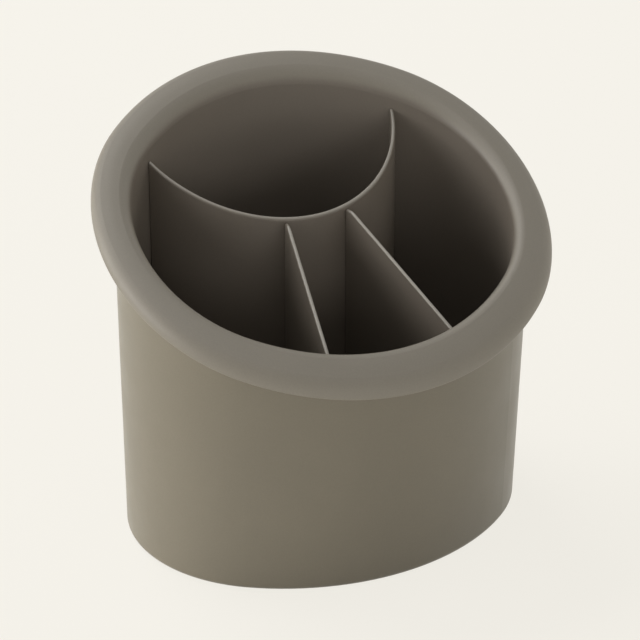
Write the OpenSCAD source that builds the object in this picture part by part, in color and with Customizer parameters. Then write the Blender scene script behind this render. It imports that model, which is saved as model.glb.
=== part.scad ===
// Cutlery holder: an oval cup, a lift-out liner with a slanted rolled rim, and three loose dividers.
// Sizes are in millimetres. The holder stands on z = 0 and the low side of its mouth faces -Y.

/* [Mouth] */
// Width over the cup wall at the mouth, left to right
mouth_w = 165.6; // [150:0.4:190]
// Depth over the cup wall at the mouth, front to back
mouth_d = 135.2; // [120:0.4:150]
// Height of the mouth plane over the table, at the middle of the holder
mouth_h = 132; // [115:1:160]
// Tilt of the mouth plane, low at the front
mouth_tilt = 26.4; // [18:0.2:30]
// Outward slope of every wall
draft = 1.25; // [0.8:0.05:2]
// Distance of the foot behind the middle of the mouth
foot_back = 2.8; // [0:0.1:3.4]

/* [Cup] */
// Thickness of the cup wall
cup_wall = 2; // [1.6:0.1:2.6]
// Thickness of the cup floor
cup_floor = 2.4; // [1.8:0.1:4]
// Radius where the cup wall turns into the foot
base_r = 2.4; // [1.5:0.1:5]
// Height cut off below that radius, so that the foot is flat
foot_cut = 0.1; // [0.05:0.05:0.3]
// Radius inside the cup, between wall and floor
cup_in_r = 4; // [2:0.1:6]
// Width of the ring that the cup stands on
foot_w = 7; // [5:0.5:14]
// Depth of the hollow inside that ring
foot_hollow = 1.2; // [0.6:0.1:2.5]

/* [Liner] */
// Thickness of the liner wall and of the rim
liner_wall = 1.8; // [1.4:0.1:2.2]
// Space between the cup wall and the liner wall at the mouth
wall_gap = 3; // [2.6:0.1:4.5]
// Height of the drip space between the two floors
drip_h = 8; // [5:0.5:16]
// Thickness of the liner floor
liner_floor = 2; // [1.6:0.1:3]
// Diameter of the drain holes
drain_d = 5; // [3:0.5:7]
// Distance between neighbouring drain holes
drain_pitch = 13; // [10:0.5:18]
// Floor left between the drain holes and the slots of the dividers
drain_land = 1.5; // [1:0.5:4]
// Floor left between the drain holes and the liner wall
drain_edge = 4; // [2:0.5:8]

/* [Rim] */
// Reach of the rim beyond the cup wall
rim_reach = 8.4; // [7:0.1:12]
// Radius from the liner wall up into the rim
rim_in_r = 4.5; // [3:0.1:5.5]
// Radius of the roll along the outer side of the rim
roll_r = 5.2; // [4:0.1:7]
// Straight edge below the roll
rim_edge = 0.2; // [0.1:0.1:2]
// Gap between the cup's top edge and the rim that rests on it
seat_gap = 0.2; // [0.1:0.05:0.4]

/* [Dividers] */
// Thickness of the curved divider and of the two fins
divider_t = 1.5; // [1.2:0.1:2.2]
// Radius of the curved divider, at the middle of its thickness
arc_r = 56.6; // [50:0.2:64]
// Distance of that radius's centre behind the middle of the mouth
arc_y = 62.3; // [56:0.1:70]
// Depth of the curved divider's top edge below the mouth plane
arc_drop = 8.5; // [5:0.1:20]
// Depth of the fins' top edges below the mouth plane
fin_drop = 8.3; // [5:0.1:20]
// Distance from the middle to each fin, where it meets the curved divider
fin_x = 13.2; // [8:0.1:20]
// Angle at which each fin spreads towards the front
fin_angle = 12.5; // [0:0.5:18]
// Radius of the rounded corner at the inner end of each fin
fin_corner_r = 8; // [7:0.5:16]
// Length of that rounded corner along the fin
fin_corner_l = 5; // [3:0.5:7]
// Width of the tabs that stand in the liner floor's slots
tab_w = 10; // [6:0.5:14]
// Angle from the middle of the curved divider to its outer tabs
tab_angle = 38; // [24:1:44]
// Distance of each fin's tabs from the ends of the floor below it
fin_tab_in = 19; // [12:1:24]
// Clearance round each divider
fit = 0.4; // [0.3:0.05:0.6]

/* [Guides] */
// Thickness of the guide ribs that hold each fin at the liner's front wall
guide_t = 1.4; // [1:0.1:2]
// Reach of the guide ribs from the liner wall
guide_reach = 3.5; // [2.5:0.1:5]
// Depth of the guide ribs' top ends below the mouth plane
guide_drop = 16; // [12:0.5:40]

/* [Hidden] */
$fn = 96;
slope = tan(mouth_tilt);
spread = tan(draft);
lean = foot_back / mouth_h;

// Plan oval with four centres on 3-4-5 triangles, so that every offset of it keeps the same centres
half_w = mouth_w / 2;
half_d = mouth_d / 2;
unit = (half_w - half_d) / 2;
end_x = 3 * unit;
side_y = 4 * unit;
end_r = half_w - end_x;
side_r = half_d + side_y;
far = mouth_w / 4;

// Reach of the shapes that cut or fill, well beyond the holder, and how far a cut runs past a face
wide = 2 * mouth_w;
top_z = mouth_h + slope * mouth_d;
deep = top_z + rim_reach;
past = 1;

// Heights of the floors
cup_floor_z = foot_hollow + cup_floor;
liner_z = cup_floor_z + drip_h;
stand_z = liner_z + liner_floor;

// Offsets from the mouth oval, measured outwards
liner_out = -cup_wall - wall_gap;
liner_in = liner_out - liner_wall;
liner_mid = liner_out - liner_wall / 2;

// Rim section: a fillet, a domed crown and a roll, each tangent to the next. The crown ends where it falls
// by 7 in 24, along the long side of a 7-24-25 triangle from its centre to the centre of the roll.
crown_x = liner_in + rim_in_r;
roll_x = rim_reach - roll_r;
crown_r = roll_r + (roll_x - crown_x) * 25 / 7;
roll_z = -crown_r + (crown_r - roll_r) * 24 / 25;
lip_z = roll_z - rim_edge;
seat_r = crown_r - liner_wall;
seat_z = -crown_r + sqrt(seat_r * seat_r - crown_x * crown_x) - seat_gap;

// Inner end of a fin, on the front face of the curved divider
arc_front_r = arc_r + divider_t / 2;
fin_y = arc_y - sqrt(arc_front_r * arc_front_r - fin_x * fin_x);
fin_slope = slope * cos(fin_angle);
fin_run = half_d + fin_y + rim_reach;

// Heights of the dividers' lower edges and, where the mouth plane's slope is taken away, of their top edges
divider_z = stand_z + seat_gap;
arc_top = mouth_h - arc_drop;
fin_top = mouth_h - fin_drop + slope * fin_y;

// Wedges of the plan in which each of the oval's four arcs lies
module end_wedge(side) {
    corner_x = side * (end_x + 3 * far);
    linear_extrude(height = 4 * deep, center = true)
        polygon([[side * end_x, 0], [corner_x, 4 * far], [corner_x, -4 * far]]);
}

module side_wedge(side) {
    corner_x = end_x + 3 * far;
    linear_extrude(height = 4 * deep, center = true)
        polygon([[0, -side * side_y], [corner_x, side * 4 * far], [-corner_x, side * 4 * far]]);
}

// Turns a section about one of the oval's centres, as far inwards as the axis
module turned(r) {
    rotate_extrude()
        intersection() {
            translate([r, 0])
                children();
            translate([0, -2 * deep])
                square([wide, 4 * deep]);
        }
}

// Carries a section, drawn as offset from the mouth oval and height, round the whole oval
module round_oval() {
    for (side = [-1, 1]) {
        intersection() {
            translate([side * end_x, 0, 0])
                turned(end_r)
                    children();
            end_wedge(side);
        }
        intersection() {
            translate([0, -side * side_y, 0])
                turned(side_r)
                    children();
            side_wedge(side);
        }
    }
}

// The same for a section without a hole. The end arcs' circles lie inside the oval, so they stay whole there
// and cover the lines along which the arcs meet.
module filled_oval() {
    for (side = [-1, 1]) {
        translate([side * end_x, 0, 0])
            turned(end_r)
                children();
        intersection() {
            translate([0, -side * side_y, 0])
                turned(side_r)
                    children();
            side_wedge(side);
        }
    }
}

// Leans an upright form so that its foot lies behind the mouth
module leaned() {
    multmatrix([[1, 0, 0, 0], [0, 1, -lean, foot_back], [0, 0, 1, 0]])
        children();
}

// Lays a form along the tilted mouth plane, with its height measured from that plane
module slanted() {
    multmatrix([[1, 0, 0, 0], [0, 1, -lean, 0], [0, slope, 1, mouth_h]])
        children();
}

// Slopes a level form, so that it climbs along a direction
module sloped(climb, along) {
    multmatrix([[1, 0, 0, 0], [0, 1, 0, 0], [climb * along[0], climb * along[1], 1, 0]])
        children();
}

// Space above the mouth plane moved by a height
module above_mouth(rise) {
    translate([0, 0, mouth_h + rise])
        rotate([mouth_tilt, 0, 0])
            translate([-deep, -deep, 0])
                cube([2 * deep, 2 * deep, deep]);
}

// Space below a level
module below(z) {
    translate([-deep, -deep, z - deep])
        cube([2 * deep, 2 * deep, deep]);
}

// Filled form whose wall runs beside the liner wall at an offset
module liner_plug(offset_at_rim) {
    slanted()
        filled_oval()
            polygon([
                [-wide, -deep], [offset_at_rim - spread * deep, -deep],
                [offset_at_rim + spread * rim_in_r, rim_in_r], [-wide, rim_in_r]]);
}

// Section of a cup shape: a floor, a round corner and a wall that slopes outwards to the top
module cup_section(wall_x, floor_z, corner_r, to_z) {
    corner_z = floor_z + corner_r;
    corner_x = wall_x + spread * (corner_z - mouth_h);
    polygon([
        [-wide, floor_z], [corner_x - corner_r, floor_z], [corner_x, corner_z],
        [wall_x + spread * (to_z - mouth_h), to_z], [-wide, to_z]]);
    translate([corner_x - corner_r, corner_z])
        circle(r = corner_r);
}

// Filled cup shape, upright
module cup_form(wall_x, floor_z, corner_r, to_z) {
    filled_oval()
        cup_section(wall_x, floor_z, corner_r, to_z);
}

module cup() {
    hollow_x = spread * (base_r - mouth_h) - base_r - foot_w;
    color([0.45, 0.42, 0.38])
        difference() {
            leaned()
                cup_form(0, -foot_cut, base_r, top_z);
            leaned()
                cup_form(-cup_wall, cup_floor_z, cup_in_r, deep);
            leaned()
                filled_oval()
                    translate([hollow_x - wide, -past])
                        square([wide, past + foot_hollow]);
            below(0);
            above_mouth(seat_z);
        }
}

// Section of all that lies below the rim's surface and outside the liner's inner wall, set in by an inset
module below_rim(inset, depth) {
    polygon([
        [liner_in + inset - spread * (depth - rim_in_r), -depth], [liner_in + inset, -rim_in_r],
        [crown_x, -rim_in_r], [roll_x, roll_z], [rim_reach - inset, roll_z], [rim_reach - inset, -depth]]);
    translate([crown_x, -rim_in_r])
        circle(r = rim_in_r - inset);
    translate([crown_x, -crown_r])
        intersection() {
            circle(r = crown_r - inset);
            polygon([[0, 0], [0, 2 * crown_r], [crown_r * 7 / 12, 2 * crown_r]]);
        }
    translate([roll_x, roll_z])
        circle(r = roll_r - inset);
}

// Section of the liner wall and the rim, with a round lip below the roll
module rim_section() {
    difference() {
        below_rim(0, deep);
        below_rim(liner_wall, deep + past);
        translate([roll_x, lip_z - 2 * deep])
            square([wide, 2 * deep]);
    }
    translate([rim_reach - liner_wall / 2, lip_z])
        circle(d = liner_wall);
}

// Drain holes on a staggered grid, clear of the walls, the dividers and their slots
module drains() {
    row_h = drain_pitch * sqrt(3) / 2;
    rows = ceil(half_d / row_h);
    cols = ceil(half_w / drain_pitch);
    wall_keep = drain_d / 2 + drain_edge;
    slot_keep = drain_d / 2 + divider_t / 2 + fit + drain_land;
    floor_w = half_w + liner_in - spread * mouth_h - wall_keep;
    floor_d = half_d + liner_in - spread * mouth_h - wall_keep;
    for (row = [-rows:rows], col = [-cols:cols]) {
        x = (col + (row % 2 == 0 ? 0 : 0.5)) * drain_pitch;
        y = foot_back + row * row_h;
        from_arc = abs(norm([x, y - arc_y]) - arc_r);
        from_fin = abs((abs(x) - fin_x) * cos(fin_angle) - (fin_y - y) * sin(fin_angle));
        on_floor = pow(x / floor_w, 2) + pow((y - foot_back) / floor_d, 2) < 1;
        if (on_floor && from_arc > slot_keep && (y > fin_y || from_fin > slot_keep))
            translate([x, y, liner_z - past])
                cylinder(d = drain_d, h = liner_floor + 2 * past);
    }
}

// Section of a divider, from far below up to a round top edge
module divider_section(top) {
    translate([-divider_t / 2, -deep])
        square([divider_t, deep + top - divider_t / 2]);
    translate([0, top - divider_t / 2])
        circle(d = divider_t);
}

// Curved band on the divider's radius, wider by a margin on each side
module arc_band(margin, z, h) {
    translate([0, arc_y, z])
        difference() {
            cylinder(r = arc_r + divider_t / 2 + margin, h = h);
            translate([0, 0, -past])
                cylinder(r = arc_r - divider_t / 2 - margin, h = h + 2 * past);
        }
}

// Tabs of the curved divider, or the slots for them
module arc_tabs(margin, z, h) {
    intersection() {
        arc_band(margin, z, h);
        for (side = [-1, 0, 1])
            translate([0, arc_y, z - past])
                rotate([0, 0, side * tab_angle])
                    translate([-tab_w / 2 - margin, -2 * arc_r, 0])
                        cube([tab_w + 2 * margin, 2 * arc_r, h + 2 * past]);
    }
}

// Turns +X from the curved divider along the right fin towards the front
module at_fin() {
    translate([fin_x, fin_y, 0])
        rotate([0, 0, fin_angle - 90])
            children();
}

// Tabs of the right fin, or the slots for them
module fin_tabs(margin, z, h) {
    floor_run = half_d + liner_in - spread * mouth_h + fin_y;
    for (run = [fin_tab_in, floor_run - fin_tab_in])
        at_fin()
            translate([run - tab_w / 2 - margin, -divider_t / 2 - margin, z])
                cube([tab_w + 2 * margin, divider_t + 2 * margin, h]);
}

// Pair of ribs on the liner's front wall, one on each side of the right fin
module fin_guides() {
    shift = divider_t / 2 + fit + guide_t / 2;
    difference() {
        intersection() {
            liner_plug(liner_mid);
            for (side = [-1, 1])
                at_fin()
                    translate([fin_run / 2, side * shift - guide_t / 2, stand_z - liner_floor / 2])
                        cube([fin_run, guide_t, deep]);
        }
        liner_plug(liner_in - guide_reach);
        above_mouth(-guide_drop);
    }
}

module liner() {
    color([0.47, 0.45, 0.42])
        difference() {
            union() {
                slanted()
                    round_oval()
                        rim_section();
                intersection() {
                    liner_plug(liner_mid);
                    translate([-deep, -deep, liner_z])
                        cube([2 * deep, 2 * deep, liner_floor]);
                }
                fin_guides();
                mirror([1, 0, 0])
                    fin_guides();
            }
            below(liner_z);
            drains();
            arc_tabs(fit, liner_z - past, liner_floor + 2 * past);
            fin_tabs(fit, liner_z - past, liner_floor + 2 * past);
            mirror([1, 0, 0])
                fin_tabs(fit, liner_z - past, liner_floor + 2 * past);
        }
}

module curved_divider() {
    color([0.43, 0.40, 0.36]) {
        difference() {
            intersection() {
                sloped(slope, [0, 1])
                    translate([0, arc_y, 0])
                        rotate_extrude()
                            translate([arc_r, 0])
                                divider_section(arc_top);
                liner_plug(liner_in - fit);
            }
            below(divider_z);
        }
        arc_tabs(0, liner_z + seat_gap, divider_z - liner_z);
    }
}

// Disc as thick as a divider, with a round edge, standing in the fin's plane
module fin_corner() {
    rotate([90, 0, 0])
        rotate_extrude() {
            translate([0, -divider_t / 2])
                square([fin_corner_r - divider_t / 2, divider_t]);
            translate([fin_corner_r - divider_t / 2, 0])
                circle(d = divider_t);
        }
}

// Fin before it is cut to the liner, with its length along +X and a level top edge
module fin_blank() {
    corner_z = fin_top - fin_corner_r;
    translate([fin_corner_l, 0, 0])
        rotate([90, 0, 90])
            linear_extrude(height = fin_run - fin_corner_l)
                divider_section(fin_top);
    intersection() {
        translate([fin_corner_l, 0, corner_z])
            fin_corner();
        translate([fit, -divider_t, corner_z])
            cube([fin_corner_l - fit, 2 * divider_t, 2 * fin_corner_r]);
    }
    translate([fit, -divider_t / 2, -deep])
        cube([fin_corner_l - fit, divider_t, deep + corner_z]);
}

module right_fin() {
    color([0.43, 0.40, 0.36]) {
        difference() {
            intersection() {
                at_fin()
                    sloped(-fin_slope, [1, 0])
                        fin_blank();
                liner_plug(liner_in - fit);
            }
            below(divider_z);
        }
        fin_tabs(0, liner_z + seat_gap, divider_z - liner_z);
    }
}

module left_fin() {
    mirror([1, 0, 0])
        right_fin();
}

cup();
liner();
curved_divider();
left_fin();
right_fin();
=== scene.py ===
"""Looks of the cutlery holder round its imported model: plastic, a pale floor, soft light and a camera."""
import math

import bpy
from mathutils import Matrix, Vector

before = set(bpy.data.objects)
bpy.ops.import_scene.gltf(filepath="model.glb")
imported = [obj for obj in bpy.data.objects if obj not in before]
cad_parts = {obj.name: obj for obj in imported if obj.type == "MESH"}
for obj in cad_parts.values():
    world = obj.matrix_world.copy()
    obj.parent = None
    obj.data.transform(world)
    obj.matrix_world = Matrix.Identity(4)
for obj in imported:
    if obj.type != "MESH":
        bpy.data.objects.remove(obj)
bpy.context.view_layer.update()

# Camera, fitted to the outlines of the foot, the walls and the rim
AZIMUTH = -28.06
ELEVATION = 27.443
DISTANCE = 1.3
TARGET = Vector((0.00096, 0.00552, 0.08025))
SENSOR = 36.0
FOCAL_PIXELS = 3318.3
PICTURE_PIXELS = 640

# Colours as they look, from 0 to 255
BACKDROP = (244, 241, 233)
FLOOR_TONE = (228, 225, 217)
CUP_TONE = (116, 109, 94)
LINER_TONE = (114, 106, 96)
# Paler tone painted on the rim's crown and outer side: painted highlight and sheen
PAINTED_RIM_LIGHT_TONE = (128, 122, 111)
DIVIDER_TONE = (112, 104, 94)
# Paler tone painted along the dividers' top edges: painted highlight
PAINTED_EDGE_LIGHT_TONE = (158, 153, 143)

# Roughness of the gloss
CUP_ROUGH = 0.37
LINER_ROUGH = 0.45
DIVIDER_ROUGH = 0.42

# Detail of the plastic: how fine each texture is, and how far it changes colour, gloss or height
CLOUD_SCALE = 22
CLOUD_TINT = 0.04
SPECK_SCALE = 1500
SPECK_TINT = 0.03
WAVE_SCALE = 60
WAVE_ROUGH = 0.03
WAVE_HEIGHT = 0.0002
WAVE_STRENGTH = 0.15
GRAIN_SCALE = 2600
GRAIN_HEIGHT = 0.00004
GRAIN_STRENGTH = 0.25

# Mouth plane of the holder, and heights over it between which the rim and the divider top edges turn
# paler: a painted highlight
MOUTH_HEIGHT = 0.132
MOUTH_SLOPE = math.tan(math.radians(26.4))
# Painted highlight on the rim: paler between these heights over the mouth plane
PAINTED_RIM_LIGHT_HEIGHTS = (-0.0036, -0.0012)
# Painted highlight along the dividers' top edges, between these heights over the mouth plane
PAINTED_EDGE_LIGHT_HEIGHTS = (-0.0089, -0.0084)
# Heights over the mouth plane within which outward-facing surfaces get the painted sheen
PAINTED_SHEEN_HEIGHTS = (-0.02, -0.015)

# Distance from the middle times how far a surface faces outwards, between which the rim's outer side turns
# paler: a painted sheen
PAINTED_SHEEN_FACING = (0.0, 0.02)

# Floor and surroundings
FLOOR_HALF = 8.0
FLOOR_HEIGHT = -0.0002
FLOOR_GLOW = 0.97
SHADOW_SHARE = 0.06
AMBIENT = 0.25
AMBIENT_COLOUR = (1, 0.99, 0.97, 1)
LAMP_DISTANCE = 3.2


def linear(tone):
    """Linear colour of a tone from 0 to 255."""
    return tuple((c / 255 / 12.92) if c < 11 else ((c / 255 + 0.055) / 1.055) ** 2.4 for c in tone)


def paint(socket, tone, gain=1.0):
    """Sets a colour socket to a tone, made paler or darker by a gain."""
    socket.default_value = (*(gain * c for c in linear(tone)), 1)


class Nodes:
    """Short calls for building a node tree."""

    def __init__(self, tree):
        self.tree = tree
        self.tree.nodes.clear()

    def add(self, kind, **values):
        node = self.tree.nodes.new(kind)
        for name, value in values.items():
            setattr(node, name, value)
        return node

    def link(self, source, target):
        self.tree.links.new(source, target)

    def noise(self, place, scale, detail, rough=0.5):
        node = self.add("ShaderNodeTexNoise")
        self.link(place, node.inputs["Vector"])
        node.inputs["Scale"].default_value = scale
        node.inputs["Detail"].default_value = detail
        node.inputs["Roughness"].default_value = rough
        return node.outputs["Fac"]

    def spread(self, value, low, high):
        """Carries a noise value from its usual range of 0.3 to 0.7 to a range of its own."""
        node = self.add("ShaderNodeMapRange")
        self.link(value, node.inputs["Value"])
        node.inputs["From Min"].default_value = 0.3
        node.inputs["From Max"].default_value = 0.7
        node.inputs["To Min"].default_value = low
        node.inputs["To Max"].default_value = high
        return node.outputs["Result"]

    def ramp(self, value, limits):
        """Carries a value smoothly from 0 at one limit to 1 at the other."""
        node = self.add("ShaderNodeMapRange", interpolation_type="SMOOTHSTEP")
        self.link(value, node.inputs["Value"])
        node.inputs["From Min"].default_value = limits[0]
        node.inputs["From Max"].default_value = limits[1]
        return node.outputs["Result"]

    def larger(self, first, second):
        """The larger of two values."""
        node = self.add("ShaderNodeMath", operation="MAXIMUM")
        self.link(first, node.inputs[0])
        self.link(second, node.inputs[1])
        return node.outputs["Value"]

    def bump(self, height, distance, strength, under=None):
        node = self.add("ShaderNodeBump")
        node.inputs["Distance"].default_value = distance
        node.inputs["Strength"].default_value = strength
        self.link(height, node.inputs["Height"])
        if under is not None:
            self.link(under, node.inputs["Normal"])
        return node.outputs["Normal"]

    def mix_shaders(self, share, first, second):
        """The first shader where the share is 0 and the second where it is 1."""
        node = self.add("ShaderNodeMixShader")
        if isinstance(share, float):
            node.inputs["Fac"].default_value = share
        else:
            self.link(share, node.inputs["Fac"])
        self.link(first, node.inputs[1])
        self.link(second, node.inputs[2])
        return node.outputs["Shader"]


def painted_light_part(nodes, place, heights, painted_outer_sheen):
    """Mask for the painted highlight: 0 deep inside the holder and 1 at the rim and top edges, by the
    height over the mouth plane.

    Optionally, surfaces near the rim that face away from the middle get it too, as a painted sheen.
    """
    point = nodes.add("ShaderNodeSeparateXYZ")
    nodes.link(place, point.inputs["Vector"])
    plane = nodes.add("ShaderNodeMath", operation="MULTIPLY_ADD")
    nodes.link(point.outputs["Y"], plane.inputs[0])
    plane.inputs[1].default_value = -MOUTH_SLOPE
    plane.inputs[2].default_value = -MOUTH_HEIGHT
    above = nodes.add("ShaderNodeMath", operation="ADD")
    nodes.link(point.outputs["Z"], above.inputs[0])
    nodes.link(plane.outputs["Value"], above.inputs[1])
    painted_light_mask = nodes.ramp(above.outputs["Value"], heights)
    if not painted_outer_sheen:
        return painted_light_mask
    outwards = nodes.add("ShaderNodeVectorMath", operation="MULTIPLY")
    nodes.link(place, outwards.inputs[0])
    outwards.inputs[1].default_value = (1, 1, 0)
    facing = nodes.add("ShaderNodeVectorMath", operation="DOT_PRODUCT")
    nodes.link(outwards.outputs["Vector"], facing.inputs[0])
    nodes.link(nodes.add("ShaderNodeNewGeometry").outputs["Normal"], facing.inputs[1])
    outer_sheen_mask = nodes.add("ShaderNodeMath", operation="MULTIPLY")
    nodes.link(nodes.ramp(facing.outputs["Value"], PAINTED_SHEEN_FACING), outer_sheen_mask.inputs[0])
    nodes.link(nodes.ramp(above.outputs["Value"], PAINTED_SHEEN_HEIGHTS), outer_sheen_mask.inputs[1])
    return nodes.larger(painted_light_mask, outer_sheen_mask.outputs["Value"])


def moulded_plastic(name, tone, rough, painted_light_tone=None, painted_light_heights=None, painted_outer_sheen=False):
    """Satin plastic: clouded pigment, fine specks, a moulded grain and slow waves in the gloss, and
    optionally a paler painted highlight by height over the mouth plane.
    """
    material = bpy.data.materials.new(name)
    material.use_nodes = True
    nodes = Nodes(material.node_tree)
    place = nodes.add("ShaderNodeTexCoord").outputs["Object"]
    clouds = nodes.noise(place, CLOUD_SCALE, 3)
    specks = nodes.noise(place, SPECK_SCALE, 2, 0.6)
    grain = nodes.noise(place, GRAIN_SCALE, 2, 0.55)
    waves = nodes.noise(place, WAVE_SCALE, 2)

    tint = nodes.add("ShaderNodeMix", data_type="RGBA")
    nodes.link(nodes.spread(clouds, 0, 1), tint.inputs["Factor"])
    paint(tint.inputs["A"], tone, 1 - CLOUD_TINT)
    paint(tint.inputs["B"], tone, 1 + CLOUD_TINT)
    pigment = tint.outputs["Result"]
    # Paler tone mixed in at the rim or the top edges: a painted highlight
    if painted_light_tone:
        painted_light_mix = nodes.add("ShaderNodeMix", data_type="RGBA")
        nodes.link(painted_light_part(nodes, place, painted_light_heights, painted_outer_sheen), painted_light_mix.inputs["Factor"])
        nodes.link(pigment, painted_light_mix.inputs["A"])
        paint(painted_light_mix.inputs["B"], painted_light_tone)
        pigment = painted_light_mix.outputs["Result"]
    shade = nodes.add("ShaderNodeHueSaturation")
    nodes.link(pigment, shade.inputs["Color"])
    nodes.link(nodes.spread(specks, 1 - SPECK_TINT, 1 + SPECK_TINT), shade.inputs["Value"])

    shader = nodes.add("ShaderNodeBsdfPrincipled")
    nodes.link(shade.outputs["Color"], shader.inputs["Base Color"])
    nodes.link(nodes.spread(waves, rough - WAVE_ROUGH, rough + WAVE_ROUGH), shader.inputs["Roughness"])
    slow = nodes.bump(waves, WAVE_HEIGHT, WAVE_STRENGTH)
    nodes.link(nodes.bump(grain, GRAIN_HEIGHT, GRAIN_STRENGTH, slow), shader.inputs["Normal"])
    output = nodes.add("ShaderNodeOutputMaterial")
    nodes.link(shader.outputs["BSDF"], output.inputs["Surface"])
    return material


def dress():
    """Gives every piece its plastic."""
    cup = moulded_plastic("cup_plastic", CUP_TONE, CUP_ROUGH)
    # The liner's rim and outer side and the dividers' top edges get painted highlights
    liner = moulded_plastic("liner_plastic", LINER_TONE, LINER_ROUGH, PAINTED_RIM_LIGHT_TONE, PAINTED_RIM_LIGHT_HEIGHTS, True)
    divider = moulded_plastic("divider_plastic", DIVIDER_TONE, DIVIDER_ROUGH, PAINTED_EDGE_LIGHT_TONE, PAINTED_EDGE_LIGHT_HEIGHTS)
    finishes = {
        "cup": (cup, "cup_shell"),
        "liner": (liner, "liner_shell"),
        "curved_divider": (divider, "divider"),
        "left_fin": (divider, "divider"),
        "right_fin": (divider, "divider"),
    }
    for node, (material, slot) in finishes.items():
        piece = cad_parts[node]
        piece.data.materials.clear()
        piece.data.materials.append(material)


def seen_directly(nodes):
    """1 for camera, glossy and transmission rays, which see the backdrop, and 0 for the rest."""
    path = nodes.add("ShaderNodeLightPath")
    seen = path.outputs["Is Camera Ray"]
    for ray in ("Is Glossy Ray", "Is Transmission Ray"):
        seen = nodes.larger(seen, path.outputs[ray])
    return seen


def floor_material():
    """Paper that is seen in the backdrop's colour with a faint shadow, and that throws light back up."""
    material = bpy.data.materials.new("floor_paper")
    material.use_nodes = True
    nodes = Nodes(material.node_tree)
    glow = nodes.add("ShaderNodeEmission")
    paint(glow.inputs["Color"], BACKDROP)
    glow.inputs["Strength"].default_value = FLOOR_GLOW
    shadowed = nodes.add("ShaderNodeBsdfDiffuse")
    paint(shadowed.inputs["Color"], BACKDROP)
    bounce = nodes.add("ShaderNodeBsdfDiffuse")
    paint(bounce.inputs["Color"], FLOOR_TONE)
    backdrop = nodes.mix_shaders(SHADOW_SHARE, glow.outputs["Emission"], shadowed.outputs["BSDF"])
    both = nodes.mix_shaders(seen_directly(nodes), bounce.outputs["BSDF"], backdrop)
    output = nodes.add("ShaderNodeOutputMaterial")
    nodes.link(both, output.inputs["Surface"])
    return material


def make_floor():
    """Makes the floor, and returns a group that holds it alone, for a lamp that lights nothing else."""
    mesh = bpy.data.meshes.new("floor")
    signs = ((-1, -1), (1, -1), (1, 1), (-1, 1))
    corners = [(FLOOR_HALF * x, FLOOR_HALF * y, FLOOR_HEIGHT) for x, y in signs]
    mesh.from_pydata(corners, [], [(0, 1, 2, 3)])
    floor = bpy.data.objects.new("floor", mesh)
    bpy.context.scene.collection.objects.link(floor)
    mesh.materials.append(floor_material())
    group = bpy.data.collections.new("floor_only")
    group.objects.link(floor)
    return group


def make_world():
    """Soft even surroundings, in whose place the backdrop's colour is seen."""
    world = bpy.data.worlds.new("studio")
    world.use_nodes = True
    bpy.context.scene.world = world
    nodes = Nodes(world.node_tree)
    backdrop = nodes.add("ShaderNodeBackground")
    paint(backdrop.inputs["Color"], BACKDROP)
    ambient = nodes.add("ShaderNodeBackground")
    ambient.inputs["Color"].default_value = AMBIENT_COLOUR
    ambient.inputs["Strength"].default_value = AMBIENT
    seen = seen_directly(nodes)
    both = nodes.mix_shaders(seen, ambient.outputs["Background"], backdrop.outputs["Background"])
    output = nodes.add("ShaderNodeOutputWorld")
    nodes.link(both, output.inputs["Surface"])


def direction(azimuth, elevation):
    """Unit vector from the middle to a place round it; azimuth 0 is in front, 90 at the right."""
    a = math.radians(azimuth)
    e = math.radians(elevation)
    return Vector((math.sin(a) * math.cos(e), -math.cos(a) * math.cos(e), math.sin(e)))


def stand_round(thing, azimuth, elevation, distance):
    """Puts a lamp or a camera at a place round the object, looking at it."""
    towards = direction(azimuth, elevation)
    thing.location = TARGET + towards * distance
    thing.rotation_mode = "QUATERNION"
    thing.rotation_quaternion = (-towards).to_track_quat("-Z", "Y")
    bpy.context.scene.collection.objects.link(thing)


def softbox(name, azimuth, elevation, size, power, distance=LAMP_DISTANCE,
            in_gloss=False, lights_up=True, only=None):
    """A rectangular lamp of a width and a height.

    It shows in reflections with in_gloss, only there without lights_up, and only limits it to a group.
    """
    light = bpy.data.lights.new(name, "AREA")
    light.shape = "RECTANGLE"
    light.size, light.size_y = size
    light.energy = power
    lamp = bpy.data.objects.new(name, light)
    lamp.visible_glossy = in_gloss
    lamp.visible_diffuse = lights_up
    lamp.light_linking.receiver_collection = only
    stand_round(lamp, azimuth, elevation, distance)


def make_camera():
    """A camera at the photo's place."""
    data = bpy.data.cameras.new("camera")
    data.sensor_width = SENSOR
    data.lens = SENSOR * FOCAL_PIXELS / PICTURE_PIXELS
    camera = bpy.data.objects.new("camera", data)
    stand_round(camera, AZIMUTH, ELEVATION, DISTANCE)
    bpy.context.scene.camera = camera


make_camera()
floor_only = make_floor()
make_world()
softbox("floor_wash", -160, 50, (2.4, 1.6), 116, only=floor_only)
softbox("window_left", -102, 17, (3.2, 1.6), 57, in_gloss=True)
softbox("back_left", -130, 13, (2.4, 1.6), 45)
softbox("back_high", -170, 40, (2.4, 1.6), 26)
softbox("front_fill", 4, 10, (2.8, 1.1), 15.5)
softbox("right_high", 92, 38, (2.4, 1.6), 18)
softbox("overhead", -28, 80, (0.9, 0.9), 2.0, distance=1.6, in_gloss=True)
softbox("card_left", -105, 38, (3.2, 2.4), 34, in_gloss=True, lights_up=False)
softbox("card_high", -160, 66, (3.0, 2.0), 38, in_gloss=True, lights_up=False)
dress()

bpy.context.scene.view_settings.view_transform = "Standard"
